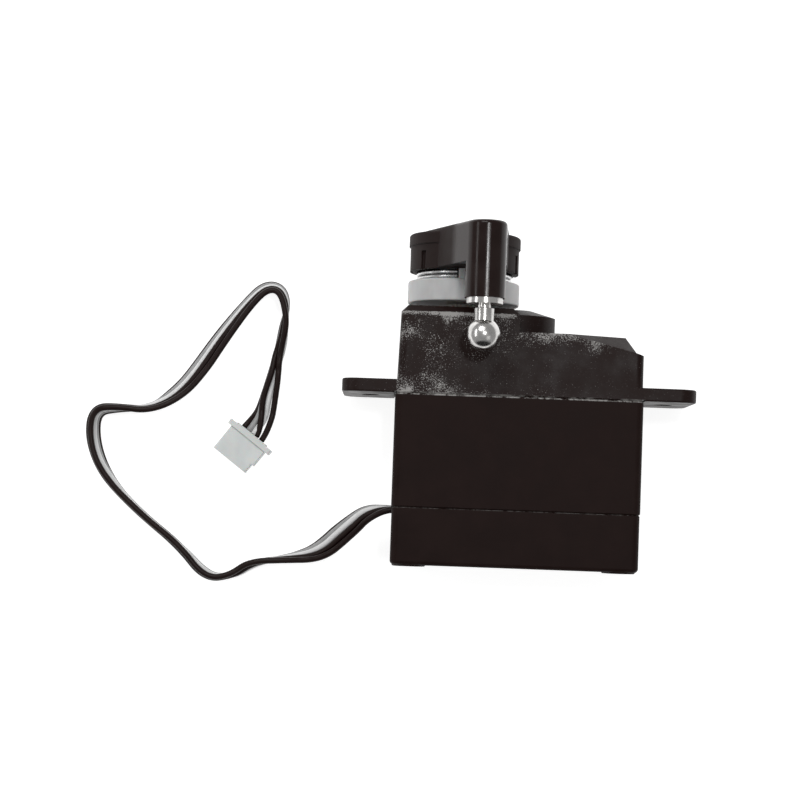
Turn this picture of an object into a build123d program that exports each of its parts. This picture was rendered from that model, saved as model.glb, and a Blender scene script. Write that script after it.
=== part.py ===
"""A small five-wire servo motor with a spring servo saver and a ball-stud arm.

The servo lies on its side, as it would on a bench. X runs along the case, Y along the
output shaft away from the case bottom, and Z up from the table. The origin is midway
between the two tab holes, on the underside of the tabs and at mid-depth of the case.
Lengths are in millimetres.
"""

import os
from math import acos, cos, degrees, pi, radians, sin, tan

from build123d import *

os.makedirs("parts", exist_ok=True)

# Case shells
CASE_DEPTH = 13.6
TABLE_Z = -CASE_DEPTH / 2
WALL = 0.9
CORNER_R = 0.9
MIDDLE_HALF_X = 14.8
UPPER_HALF_X = 14.68
UPPER_DRAFT = 0.3  # how far the block's end wall leans in at its top
COVER_HALF_X = 14.74
SHELL_STEP = 0.05  # the upper case and the cover are this much shallower on each side
Y_BOTTOM = -20.4
Y_COVER = -13.56  # middle case to bottom cover
Y_PART = 0.0  # upper case to middle case
Y_LOW = 7.7  # lower flat top
Y_BLOCK = 10.55  # tall block under the horn
BLOCK_X = -0.25
BLOCK_CHAMFER = 0.8
PART_CHAMFER = 0.15
DECK = 1.2  # gear plate at the top of the middle case
COVER_FLOOR = 1.0
PAD_R = 2.0
PAD_PROUD = 0.16

# Mounting tabs
TAB_HALF_X = 21.2
TAB_THICK = 1.6
TAB_CORNER = 2.0
TAB_HOLE_X = 17.8
TAB_HOLE_R = 1.1
TAB_EDGE = 0.2
RELIEF_X = 14.72
RELIEF_HALF = 0.19

# Sloped end of the upper case: points of its outline seen from the side
END_TOP_X = 12.65
END_KNEE = (13.7, 5.7)
END_LOW_Y = 5.4
FACET_START = (5.82, 7.6)
FACET_IN = 3.0  # how far in from the side the facet meets the flat top

# Case screws
SCREW_X = 12.5
SCREW_Z = 4.6
SCREW_R = 0.7
SCREW_HEAD_R = 1.3
SCREW_HEAD = 0.95
SCREW_TOP = 3.9
COLUMN_R = 1.5
COLUMN_TOP = 4.9

# Shaft axes, all parallel to Y at mid-depth
OUT_X = -6.93
AXLE_X = -0.18
MOTOR_X = 6.42
BOSS_X = -0.25
BOSS_R = 4.6
BOSS_CROWN_R = 1.75
BOSS_Y = (9.95, 10.8)

# Gear train: module, teeth and heights of each toothed ring
STAGE_1 = (0.2, 12, 54)
STAGE_2 = (0.25, 11, 43)
STAGE_3 = (0.3, 10, 35)
STAGE_4 = (0.375, 10, 26)
PINION_Y = (0.35, 1.5)
GEAR_1_Y = (0.4, 1.4, 3.0)
GEAR_2_Y = (1.7, 2.7, 4.7)
GEAR_3_Y = (3.3, 4.4, 7.9)
OUT_GEAR_Y = (5.2, 7.8)
PRESSURE = radians(20)
TOOTH_FILL = 0.84
ADDENDUM = 0.85
DEDENDUM = 1.15
AXLE_R = 0.5
RUNNING = 0.04  # radial running clearance

# Output shaft, bush and servo saver
SHAFT_R = 1.95
SPLINE_TEETH = 21
SPLINE_DEPTH = 0.17
SHAFT_TOP = 17.0
SHAFT_FOOT = -5.0
BUSH_R = 2.9
HUB_R = 6.78
HUB_Y = (11.25, 13.95)
HUB_TUBE_R = 3.0
HUB_TUBE_TOP = 18.3
SPRING_R = 5.55
SPRING_WIRE_R = 0.25
SPRING_Y = (14.26, 14.82)
TONGUE_HALF = 7.0
ARM_TONGUE = (4.6, SPRING_R - SPRING_WIRE_R - 0.05)  # radii of the arm's tongue, inside the springs
CAP_Y = (15.15, 18.2, 19.65)
CAP_SKIRT_R = 6.62
CAP_RIM_R = 6.79
CAP_SLEEVE_FOOT = 16.2
CAP_RECESS_Y = HUB_TUBE_TOP - 0.05
CAP_WALL = 0.8

# Arm and ball stud
ARM_REACH = 12.4
ARM_REST = 10.0  # degrees from +Z towards +X
ARM_Y = (15.25, 20.05)
COLUMN_FOOT = 11.0
ARM_COLUMN_R = 2.38
ARM_ROOT_R = 5.4
BALL_R = 2.0
BALL_Y = 6.75
STUD_COLLAR_R = 2.15
STUD_NECK_R = 1.17
STUD_WAIST_R = 0.75
STUD_SHANK_R = 0.8

# Motor
CAN_R = 5.5
CAN_Y = (-1.2, -13.2)
CAN_WALL = 0.4
BELL_Y = -14.9
MOTOR_SHAFT_R = 0.5
ROTOR_R = 3.75
ROTOR_Y = (-3.4, -9.8)

# Position sensor
POT_R = 4.5
POT_Y = (-1.2, -6.6)
POT_PIN_X = -9.0
POT_PIN_END = -8.9

# Wires, ribbon and plug
WIRE_R = 0.375
WIRE_PITCH = 0.76
RIBBON_WIDTH = 3.8
RIBBON_THICK = 0.76
CABLE_Y = -13.85
SLOT_HALF_Z = RIBBON_WIDTH / 2 + 0.05  # slot in the case wall that the ribbon leaves by
SLOT_HALF_Y = 0.42
PLUG_FACE = (-32.3, -5.15)  # centre of the face that the wires enter
PLUG_TURN = 233.0  # direction that the plug points in, from +X towards +Y
PLUG_AHEAD = (cos(radians(PLUG_TURN)), sin(radians(PLUG_TURN)))
PLUG_THICK = 3.0
PLUG_WIDTH = 5.3
PLUG_NOSE = (5.0, 1.3)  # width and length of the narrower front
PLUG_FLANGE = 6.4
PLUG_FLANGE_LONG = 0.65
PLUG_BACK = (4.6, 2.4, 0.15)  # width, thickness and length of the raised rear face
PLUG_LONG = 4.3
CABLE_Z = TABLE_Z + RIBBON_WIDTH / 2 + 0.03
# The route starts in the case wall, drops to the table and loops round to the plug.
ROUTE = [
    (-MIDDLE_HALF_X + WALL, CABLE_Y, 0.0),
    (-17.0, CABLE_Y, 0.0),
    (-20.2, -16.7, -1.6),
    (-23.35, -19.5, -3.1),
    (-27.8, -20.5, -4.4),
    (-31.6, -20.9, CABLE_Z),
    (-34.2, -22.75, CABLE_Z),
    (-37.3, -23.05, CABLE_Z),
    (-40.8, -19.2, CABLE_Z),
    (-45.7, -15.5, CABLE_Z),
    (-50.1, -11.3, CABLE_Z),
    (-52.15, -6.8, CABLE_Z),
    (-52.05, -2.85, CABLE_Z),
    (-49.0, -2.45, CABLE_Z),
    (-45.0, -2.6, CABLE_Z),
    (-41.4, -0.1, CABLE_Z),
    (-39.2, 2.7, CABLE_Z),
    (-36.4, 7.1, CABLE_Z),
    (-33.3, 11.3, CABLE_Z),
    (-31.4, 13.25, CABLE_Z),
    (-29.5, 13.05, CABLE_Z),
    (-28.7, 10.85, CABLE_Z),
    (-29.0, 7.4, CABLE_Z),
    (-29.8, 3.2, CABLE_Z),
    (-30.5, -0.9, CABLE_Z),
    (PLUG_FACE[0] - 2.1 * PLUG_AHEAD[0], PLUG_FACE[1] - 2.1 * PLUG_AHEAD[1], CABLE_Z),
    (*PLUG_FACE, CABLE_Z),
]

UP = (0, 1, 0)


def level(y):
    """A sketch plane square to the shafts at height y: local x is X and local y is Z."""
    return Plane.XZ.offset(-y)


def arm_level(y):
    """The same, centred on the output shaft, with local x along the arm."""
    turn = radians(ARM_REST)
    return Plane(origin=(OUT_X, y, 0), x_dir=(sin(turn), 0, cos(turn)), z_dir=UP)


def slab(low_x, high_x, half_z, low_y, high_y, corner=0.0, mode=Mode.ADD):
    """Adds to the part, or cuts from it, a block with rounded upright corners."""
    with BuildSketch(level(low_y)) as outline:
        with Locations(((low_x + high_x) / 2, 0)):
            if corner:
                RectangleRounded(high_x - low_x, 2 * half_z, corner)
            else:
                Rectangle(high_x - low_x, 2 * half_z)
    extrude(outline.sketch, amount=high_y - low_y, dir=UP, mode=mode)


def rods(places, radius, low_y, high_y, mode=Mode.ADD):
    """Adds or cuts round rods along Y at each (x, z)."""
    with BuildSketch(level(low_y)) as outline:
        with Locations(*places):
            Circle(radius)
    extrude(outline.sketch, amount=high_y - low_y, dir=UP, mode=mode)


def rod(x, radius, low_y, high_y, mode=Mode.ADD):
    rods([(x, 0)], radius, low_y, high_y, mode)


def wedge(plane, inner, outer, middle, half_angle, height, mode=Mode.ADD):
    """Adds or cuts a piece of a ring, from inner to outer radius, about the plane's origin."""
    with BuildSketch(plane) as outline:
        with BuildLine():
            Polyline(
                *[
                    (radius * cos(radians(turn)), radius * sin(radians(turn)))
                    for radius, turn in (
                        (inner, middle - half_angle),
                        (3 * outer, middle - half_angle),
                        (3 * outer, middle),
                        (3 * outer, middle + half_angle),
                        (inner, middle + half_angle),
                    )
                ],
                close=True,
            )
        make_face()
        Circle(outer, mode=Mode.INTERSECT)
        Circle(inner, mode=Mode.SUBTRACT)
    extrude(outline.sketch, amount=height, dir=UP, mode=mode)


def finish(piece, name):
    piece.part.label = name
    export_step(piece.part, f"parts/{name}.step")


SCREWS = [(x, z) for x in (-SCREW_X, SCREW_X) for z in (-SCREW_Z, SCREW_Z)]


# ---------------------------------------------------------------- case shells
def make_upper_case():
    """Top shell: tall block and half-round boss over the gears, low end and two tabs."""
    half_z = CASE_DEPTH / 2 - SHELL_STEP
    inner_z = half_z - WALL
    inner_x = UPPER_HALF_X - WALL
    with BuildPart() as tabs:
        slab(-TAB_HALF_X, TAB_HALF_X, half_z, Y_PART, TAB_THICK, TAB_CORNER)
        fillet(tabs.faces().filter_by(Axis.Y).edges(), TAB_EDGE)
        reach = UPPER_HALF_X - CORNER_R
        slab(-reach, reach, half_z, Y_PART, TAB_THICK, mode=Mode.SUBTRACT)
    with BuildPart() as upper:
        with BuildSketch(Plane.XY):
            with BuildLine():
                Polyline(
                    (-UPPER_HALF_X, Y_PART),
                    (UPPER_HALF_X, Y_PART),
                    (UPPER_HALF_X, END_LOW_Y),
                    END_KNEE,
                    (END_TOP_X, Y_LOW),
                    (BLOCK_X, Y_LOW),
                    (BLOCK_X, Y_BLOCK),
                    (UPPER_DRAFT - UPPER_HALF_X, Y_BLOCK),
                    close=True,
                )
            make_face()
        extrude(amount=half_z, both=True)
        ends = upper.faces().sort_by(Axis.X)
        fillet((ends[0].edges() + ends[-1].edges()).filter_by(Axis.Z, reverse=True), CORNER_R)
        chamfer(upper.faces().sort_by(Axis.Y)[-1].edges(), BLOCK_CHAMFER)
        chamfer(upper.faces().sort_by(Axis.Y)[0].edges(), PART_CHAMFER)
        for side in (-1, 1):  # cut the long facets on both edges of the low end
            start = Vector(*FACET_START, side * half_z)
            top = Vector(END_TOP_X, Y_LOW, side * (half_z - FACET_IN))
            knee = Vector(*END_KNEE, side * half_z)
            across = (knee - start).cross(top - start) * side
            with BuildSketch(Plane(origin=start, x_dir=knee - start, z_dir=across)) as facet:
                Rectangle(10.5, 12, align=(Align.MIN, Align.CENTER))
            extrude(facet.sketch, amount=4, mode=Mode.SUBTRACT)
        rod(BOSS_X, BOSS_R, BOSS_Y[0] - 3, BOSS_Y[0])
        with BuildSketch(level(BOSS_Y[0])) as foot:
            with Locations((BOSS_X, 0)):
                Circle(BOSS_R)
        with BuildSketch(level(BOSS_Y[1])) as crown:
            with Locations((BOSS_X, 0)):
                Circle(BOSS_CROWN_R)
        loft([foot.sketch.face(), crown.sketch.face()])
        add(tabs.part)
        for side in (-1, 1):  # relief that keeps each tab's seat clear of the middle case
            slab(
                side * RELIEF_X - RELIEF_HALF,
                side * RELIEF_X + RELIEF_HALF,
                half_z,
                Y_PART,
                PART_CHAMFER,
                mode=Mode.SUBTRACT,
            )
        rods([(-TAB_HOLE_X, 0), (TAB_HOLE_X, 0)], TAB_HOLE_R, Y_PART, TAB_THICK, Mode.SUBTRACT)
        # hollow for the gears, stepped to keep a wall under every outer face
        slab(-inner_x, inner_x, inner_z, Y_PART, 4.6, mode=Mode.SUBTRACT)
        slab(-inner_x, 9.0, inner_z - 0.9, Y_PART, 6.5, mode=Mode.SUBTRACT)
        slab(-inner_x, BLOCK_X - WALL, inner_z, Y_PART, 9.3, mode=Mode.SUBTRACT)
        rod(AXLE_X, BOSS_R - 1.2, Y_PART, 8.2, Mode.SUBTRACT)
        rods(SCREWS, COLUMN_R, Y_PART, COLUMN_TOP)
        rods(SCREWS, SCREW_R + 0.01, Y_PART, SCREW_TOP + 0.3, Mode.SUBTRACT)
        rod(AXLE_X, AXLE_R + RUNNING, 8.2, 9.1, Mode.SUBTRACT)
        rod(OUT_X, BUSH_R + 0.01, 9.3, Y_BLOCK, Mode.SUBTRACT)
    finish(upper, "upper_case")


def make_middle_case():
    """Middle shell: an open-bottomed box whose deck carries the motor and the sensor."""
    inner_x = MIDDLE_HALF_X - WALL
    inner_z = CASE_DEPTH / 2 - WALL
    with BuildPart() as middle:
        slab(-MIDDLE_HALF_X, MIDDLE_HALF_X, CASE_DEPTH / 2, Y_COVER, Y_PART, CORNER_R)
        chamfer(middle.faces().sort_by(Axis.Y)[0].edges(), PART_CHAMFER)
        chamfer(middle.faces().sort_by(Axis.Y)[-1].edges(), PART_CHAMFER)
        slab(-inner_x, inner_x, inner_z, Y_COVER, Y_PART - DECK, mode=Mode.SUBTRACT)
        rods(SCREWS, COLUMN_R, Y_COVER, Y_PART - DECK)
        rods(SCREWS, SCREW_R + 0.1, Y_COVER, Y_PART, Mode.SUBTRACT)
        rod(MOTOR_X, 2.05, -DECK, Y_PART, Mode.SUBTRACT)
        rod(OUT_X, 2.3, -DECK, Y_PART, Mode.SUBTRACT)
        rod(AXLE_X, AXLE_R + 0.01, -DECK, Y_PART, Mode.SUBTRACT)
        slab(-MIDDLE_HALF_X, -inner_x, SLOT_HALF_Z, Y_COVER, CABLE_Y + SLOT_HALF_Y, mode=Mode.SUBTRACT)
    finish(middle, "middle_case")


def make_bottom_cover():
    """Bottom cover: a deep tray with a round pad under each screw."""
    half_z = CASE_DEPTH / 2 - SHELL_STEP
    inner_x = COVER_HALF_X - WALL
    pad_y = Y_BOTTOM - PAD_PROUD
    with BuildPart() as cover:
        slab(-COVER_HALF_X, COVER_HALF_X, half_z, Y_BOTTOM, Y_COVER, CORNER_R)
        fillet(cover.faces().sort_by(Axis.Y)[0].edges(), 0.5)
        chamfer(cover.faces().sort_by(Axis.Y)[-1].edges(), PART_CHAMFER)
        rods(SCREWS, PAD_R, pad_y, Y_BOTTOM + COVER_FLOOR)
        fillet(cover.faces().group_by(Axis.Y)[0].edges(), 0.15)
        slab(-inner_x, inner_x, half_z - WALL, Y_BOTTOM + COVER_FLOOR, Y_COVER, mode=Mode.SUBTRACT)
        rods(SCREWS, COLUMN_R, Y_BOTTOM + COVER_FLOOR, Y_COVER)
        rods(SCREWS, SCREW_R + 0.1, pad_y, Y_COVER, Mode.SUBTRACT)
        rods(SCREWS, SCREW_HEAD_R + 0.15, pad_y, pad_y + 1.0, Mode.SUBTRACT)
        slab(-COVER_HALF_X, -inner_x, SLOT_HALF_Z, CABLE_Y - SLOT_HALF_Y, Y_COVER, mode=Mode.SUBTRACT)
    finish(cover, "bottom_cover")


def make_case_screws():
    """Four long self-tapping screws with cross recesses, up through all three shells."""
    seat = Y_BOTTOM - PAD_PROUD + 1.0
    with BuildPart() as screws:
        rods(SCREWS, SCREW_R, seat, SCREW_TOP)
        rods(SCREWS, SCREW_HEAD_R, seat - SCREW_HEAD, seat)
        fillet(screws.faces().group_by(Axis.Y)[0].edges(), 0.25)
        with BuildSketch(level(seat - SCREW_HEAD)) as recess:
            with Locations(*SCREWS):
                Rectangle(1.4, 0.35)
                Rectangle(0.35, 1.4)
        extrude(recess.sketch, amount=0.5, dir=UP, mode=Mode.SUBTRACT)
    finish(screws, "case_screws")


# ---------------------------------------------------------------- gear train
def toothed(x, module, teeth, low_y, high_y, turn=0.0):
    """Adds an involute toothed ring on a shaft at x; with turn 0 a tooth points along +X."""
    pitch_r = module * teeth / 2
    base_r = pitch_r * cos(PRESSURE)

    def half_angle(radius):
        slope = acos(min(1.0, base_r / radius))
        return pi / (2 * teeth) * TOOTH_FILL + (tan(PRESSURE) - PRESSURE) - (tan(slope) - slope)

    outline = []
    radii = (pitch_r - DEDENDUM * module, pitch_r, pitch_r + ADDENDUM * module)
    for tooth in range(teeth):
        middle = 2 * pi * tooth / teeth + radians(turn)
        flank = [(radius, half_angle(radius)) for radius in radii]
        outline += [(r * cos(middle - half), r * sin(middle - half)) for r, half in flank]
        outline += [(r * cos(middle + half), r * sin(middle + half)) for r, half in flank[::-1]]
    with BuildSketch(level(low_y)) as ring:
        with Locations((x, 0)):
            Polygon(*outline, align=None)
    extrude(ring.sketch, amount=high_y - low_y, dir=UP)


def make_compound_gear(name, x, wheel, pinion, heights, bore_r, pinion_turn=0.0):
    """A wheel with a smaller pinion moulded on top of it, free to turn on its axle."""
    low_y, mid_y, high_y = heights
    with BuildPart() as gear:
        toothed(x, *wheel, low_y, mid_y)
        toothed(x, *pinion, mid_y, high_y, pinion_turn)
        rod(x, bore_r, low_y, high_y, Mode.SUBTRACT)
    finish(gear, name)


def make_output_gear():
    """Output gear, splined output shaft and the flatted foot that turns the sensor."""
    module, _, teeth = STAGE_4
    with BuildPart() as out:
        toothed(OUT_X, module, teeth, *OUT_GEAR_Y)
        rod(OUT_X, SHAFT_R, OUT_GEAR_Y[1], 10.75)
        rod(OUT_X, 0.8, SHAFT_FOOT, OUT_GEAR_Y[0])
        slab(OUT_X - 1, OUT_X - 0.45, 1, SHAFT_FOOT, -3.0, mode=Mode.SUBTRACT)
        spline(SHAFT_R, 10.75, SHAFT_TOP)
        chamfer(out.faces().sort_by(Axis.Y)[-1].edges(), 0.12)
        rod(OUT_X, 0.96, 11.5, SHAFT_TOP, Mode.SUBTRACT)
    finish(out, "output_gear")


def spline(radius, low_y, high_y, mode=Mode.ADD):
    """Adds or cuts the fine V-toothed spline that keys the saver hub to the shaft."""
    outline = []
    for step in range(2 * SPLINE_TEETH):
        reach = radius - SPLINE_DEPTH * (step % 2)
        turn = pi * step / SPLINE_TEETH
        outline.append((reach * cos(turn), reach * sin(turn)))
    with BuildSketch(level(low_y)) as teeth:
        with Locations((OUT_X, 0)):
            Polygon(*outline, align=None)
    extrude(teeth.sketch, amount=high_y - low_y, dir=UP, mode=mode)


def make_gears():
    make_compound_gear("gear_1", AXLE_X, (STAGE_1[0], STAGE_1[2]), STAGE_2[:2], GEAR_1_Y, AXLE_R + RUNNING)
    make_compound_gear("gear_2", OUT_X, (STAGE_2[0], STAGE_2[2]), STAGE_3[:2], GEAR_2_Y, 0.8 + RUNNING)
    half_pitch = 180 / STAGE_4[1]
    make_compound_gear(
        "gear_3", AXLE_X, (STAGE_3[0], STAGE_3[2]), STAGE_4[:2], GEAR_3_Y, AXLE_R + RUNNING, half_pitch
    )
    make_output_gear()
    with BuildPart() as axle:
        rod(AXLE_X, AXLE_R, -1.1, 9.0)
    finish(axle, "gear_axle")
    with BuildPart() as pinion:
        toothed(MOTOR_X, *STAGE_1[:2], *PINION_Y, 180 / STAGE_1[1])
        rod(MOTOR_X, MOTOR_SHAFT_R, *PINION_Y, Mode.SUBTRACT)
    finish(pinion, "motor_pinion")


def make_shaft_bush():
    """Brass bush in the block's top that carries the output shaft."""
    with BuildPart() as bush:
        rod(OUT_X, BUSH_R + 0.7, 8.5, 9.3)
        rod(OUT_X, BUSH_R, 9.3, 10.65)
        rod(OUT_X, SHAFT_R + RUNNING, 8.5, 10.65, Mode.SUBTRACT)
    finish(bush, "shaft_bush")


# ---------------------------------------------------------------- servo saver, arm and stud
def make_saver_hub():
    """White hub: a ring and a tube splined to the shaft, with a tongue for the springs."""
    with BuildPart() as hub:
        rod(OUT_X, HUB_R, *HUB_Y)
        fillet(hub.faces().filter_by(Axis.Y).edges(), 0.2)
        rod(OUT_X, HUB_TUBE_R, HUB_Y[1], HUB_TUBE_TOP)
        tongue = Plane(origin=(OUT_X, HUB_Y[1] - 0.3, 0), x_dir=(0, 0, 1), z_dir=UP)
        wedge(tongue, 5.6, HUB_R - 0.1, 0, TONGUE_HALF, CAP_Y[0] - HUB_Y[1] + 0.25)
        spline(SHAFT_R + 0.02, HUB_Y[0], SHAFT_TOP + 0.05, Mode.SUBTRACT)
        rod(OUT_X, 1.05, SHAFT_TOP, HUB_TUBE_TOP, Mode.SUBTRACT)
    finish(hub, "saver_hub")


def make_saver_springs():
    """Two spring-steel wire rings, open at the front, that centre the arm on the hub."""
    gap = TONGUE_HALF + 2.9
    with BuildPart() as springs:
        for y in SPRING_Y:
            away = (sin(radians(gap)), 0, cos(radians(gap)))
            across = Plane(origin=(OUT_X, y, 0), x_dir=away, z_dir=Vector(away).cross(Vector(UP)))
            with BuildSketch(across) as wire:
                with Locations((SPRING_R, 0)):
                    Circle(SPRING_WIRE_R)
            revolve(wire.sketch, axis=Axis((OUT_X, y, 0), UP), revolution_arc=360 - 2 * gap)
    finish(springs, "saver_springs")


def make_saver_arm():
    """Black cap that turns on the hub, with the arm and the upright column at its end."""
    skirt_y, rim_y, top_y = CAP_Y
    with BuildPart() as arm:
        rod(OUT_X, CAP_SKIRT_R, skirt_y, rim_y)
        rod(OUT_X, CAP_RIM_R, rim_y, top_y)
        fillet(arm.faces().sort_by(Axis.Y)[-1].edges(), 0.3)
        with BuildSketch(arm_level(ARM_Y[0])) as web:
            column_edge = Pos(ARM_REACH, 0) * Edge.make_circle(ARM_COLUMN_R)
            make_hull(Edge.make_circle(ARM_ROOT_R).edges() + column_edge)
        extrude(web.sketch, amount=ARM_Y[1] - ARM_Y[0], dir=UP)
        with BuildSketch(arm_level(COLUMN_FOOT)) as column:
            with Locations((ARM_REACH, 0)):
                Circle(ARM_COLUMN_R)
        extrude(column.sketch, amount=ARM_Y[1] - COLUMN_FOOT, dir=UP)
        fillet(arm.faces().sort_by(Axis.Y)[-1].edges(), 0.45)
        rod(OUT_X, CAP_SKIRT_R - CAP_WALL, skirt_y, rim_y - 0.3, Mode.SUBTRACT)
        rod(OUT_X, 4.6, CAP_SLEEVE_FOOT, rim_y)
        rod(OUT_X, HUB_TUBE_R + RUNNING, CAP_SLEEVE_FOOT, top_y, Mode.SUBTRACT)
        rod(OUT_X, 4.1, CAP_RECESS_Y, ARM_Y[1], Mode.SUBTRACT)
        for turn in range(60, 340, 40):  # moulding slots round the skirt
            wedge(arm_level(skirt_y), CAP_SKIRT_R - 0.35, CAP_SKIRT_R + 0.5, turn, 3.5, 2.2, Mode.SUBTRACT)
        wedge(arm_level(skirt_y - 1.05), *ARM_TONGUE, -ARM_REST, TONGUE_HALF, 1.05)
        wedge(arm_level(skirt_y), 4.6, CAP_SKIRT_R - 0.4, -ARM_REST, TONGUE_HALF, rim_y - skirt_y)
        with BuildSketch(arm_level(COLUMN_FOOT)) as hole:
            with Locations((ARM_REACH, 0)):
                Circle(STUD_SHANK_R + 0.01)
        extrude(hole.sketch, amount=5.4, dir=UP, mode=Mode.SUBTRACT)
    finish(arm, "saver_arm")


def make_horn_fixings():
    """Washer and screw that hold the saver on the output shaft."""
    washer_y = HUB_TUBE_TOP
    with BuildPart() as washer:
        rod(OUT_X, 3.7, washer_y, washer_y + 0.3)
        rod(OUT_X, 1.05, washer_y, washer_y + 0.3, Mode.SUBTRACT)
    finish(washer, "horn_washer")
    head_y = washer_y + 0.3
    with BuildPart() as screw:
        rod(OUT_X, 0.95, 12.2, head_y)
        rod(OUT_X, 1.75, head_y, head_y + 0.9)
        fillet(screw.faces().sort_by(Axis.Y)[-1].edges(), 0.35)
        slab(OUT_X - 0.95, OUT_X + 0.95, 0.2, head_y + 0.35, head_y + 0.9, mode=Mode.SUBTRACT)
        slab(OUT_X - 0.2, OUT_X + 0.2, 0.95, head_y + 0.35, head_y + 0.9, mode=Mode.SUBTRACT)
    finish(screw, "horn_screw")


def make_ball_stud():
    """Turned steel stud: threaded shank, collar, tapered neck and ball."""
    turn = radians(ARM_REST)
    axis_point = Vector(OUT_X + ARM_REACH * sin(turn), 0, ARM_REACH * cos(turn))
    with BuildPart() as stud:
        with BuildSketch(Plane(origin=axis_point, x_dir=(1, 0, 0), z_dir=(0, 0, 1))) as profile:
            with BuildLine():
                neck_turn = degrees(acos(STUD_NECK_R / BALL_R))
                ball = CenterArc((0, BALL_Y), BALL_R, -90, 90 + neck_turn)
                Polyline(
                    ball @ 1,
                    (STUD_NECK_R, 9.8),
                    (STUD_WAIST_R, 9.9),
                    (STUD_WAIST_R, 10.3),
                    (STUD_COLLAR_R, 10.35),
                    (STUD_COLLAR_R, COLUMN_FOOT),
                    (STUD_SHANK_R, COLUMN_FOOT),
                    (STUD_SHANK_R, COLUMN_FOOT + 5.2),
                    (0, COLUMN_FOOT + 5.2),
                    (0, BALL_Y - BALL_R),
                )
            make_face()
        revolve(profile.sketch, axis=Axis(axis_point, UP))
    finish(stud, "ball_stud")


# ---------------------------------------------------------------- motor
def make_motor():
    """Small brushed motor: steel can, magnets, wound rotor, brushes and end bell."""
    can_top, can_foot = CAN_Y
    with BuildPart() as can:
        rod(MOTOR_X, CAN_R, can_foot, can_top)
        fillet(can.faces().sort_by(Axis.Y)[-1].edges(), 0.4)
        rod(MOTOR_X, 2.0, can_top, -0.15)
        rod(MOTOR_X, CAN_R - CAN_WALL, can_foot, can_top - CAN_WALL, Mode.SUBTRACT)
        rod(MOTOR_X, 1.4, can_foot, -0.15, Mode.SUBTRACT)
    finish(can, "motor_can")

    with BuildPart() as magnets:
        for middle in (0, 180):
            across = Plane(origin=(MOTOR_X, -11.6, 0), x_dir=(1, 0, 0), z_dir=UP)
            wedge(across, 4.1, CAN_R - CAN_WALL - 0.02, middle, 62, 9.0)
    finish(magnets, "motor_magnets")

    with BuildPart() as bell:
        rod(MOTOR_X, CAN_R, BELL_Y, can_foot)
        rod(MOTOR_X, CAN_R - CAN_WALL - 0.02, can_foot, can_foot + 0.6)
        fillet(bell.faces().sort_by(Axis.Y)[0].edges(), 0.3)
        rod(MOTOR_X, 3.4, can_foot - 0.3, can_foot + 0.6, Mode.SUBTRACT)
        rod(MOTOR_X, 1.4, BELL_Y, can_foot, Mode.SUBTRACT)
        terminal_slots(0.36, 0.76, BELL_Y, can_foot, Mode.SUBTRACT)
    finish(bell, "motor_end_bell")

    with BuildPart() as bushes:
        for low_y, high_y in ((-1.5, -0.3), (BELL_Y, BELL_Y + 1.2)):
            rod(MOTOR_X, 1.39, low_y, high_y)
        rod(MOTOR_X, MOTOR_SHAFT_R + 0.02, BELL_Y, 0, Mode.SUBTRACT)
    finish(bushes, "motor_bushes")

    with BuildPart() as shaft:
        rod(MOTOR_X, MOTOR_SHAFT_R, BELL_Y + 0.1, PINION_Y[1])
    finish(shaft, "motor_shaft")

    low_y, high_y = ROTOR_Y[1], ROTOR_Y[0]
    with BuildPart() as core:
        rod(MOTOR_X, 1.2, low_y, high_y)
        across = Plane(origin=(MOTOR_X, low_y, 0), x_dir=(1, 0, 0), z_dir=UP)
        for pole in (0, 120, 240):
            wedge(across, 3.1, ROTOR_R, pole, 50, high_y - low_y)
            with BuildSketch(across) as neck:
                with PolarLocations(2.2, 1, start_angle=pole):
                    Rectangle(2.4, 1.0)
            extrude(neck.sketch, amount=high_y - low_y, dir=UP)
        rod(MOTOR_X, MOTOR_SHAFT_R, low_y, high_y, Mode.SUBTRACT)
    finish(core, "rotor_core")

    with BuildPart() as windings:
        across = Plane(origin=(MOTOR_X, low_y - 0.5, 0), x_dir=(1, 0, 0), z_dir=UP)
        for pole in (0, 120, 240):
            with BuildSketch(across) as coil:
                with PolarLocations(2.35, 1, start_angle=pole):
                    Rectangle(1.0, 2.3)
            extrude(coil.sketch, amount=high_y - low_y + 1.0, dir=UP)
            with BuildSketch(Plane(across.origin + Vector(0, 0.5, 0), across.x_dir, across.z_dir)) as neck:
                with PolarLocations(2.35, 1, start_angle=pole):
                    Rectangle(1.2, 1.02)
            extrude(neck.sketch, amount=high_y - low_y, dir=UP, mode=Mode.SUBTRACT)
    finish(windings, "rotor_windings")

    with BuildPart() as commutator:
        rod(MOTOR_X, 1.25, -13.0, -10.9)
        rod(MOTOR_X, MOTOR_SHAFT_R, -13.0, -10.9, Mode.SUBTRACT)
        across = Plane(origin=(MOTOR_X, -13.0, 0), x_dir=(1, 0, 0), z_dir=UP)
        for gap in (60, 180, 300):
            wedge(across, 1.0, 1.5, gap, 7, 2.1, Mode.SUBTRACT)
    finish(commutator, "commutator")

    with BuildPart() as brushes:
        for side in (-1, 1):
            with BuildSketch(Plane(origin=(MOTOR_X, -12.95, 0), x_dir=(1, 0, 0), z_dir=UP)) as leaf:
                with Locations((0, side * 1.45)):
                    Rectangle(3.0, 0.3)
            extrude(leaf.sketch, amount=0.9, dir=UP)
    finish(brushes, "motor_brushes")

    with BuildPart() as terminals:
        terminal_slots(0.35, 0.75, -16.0, can_foot - 0.4)
    finish(terminals, "motor_terminals")


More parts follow.
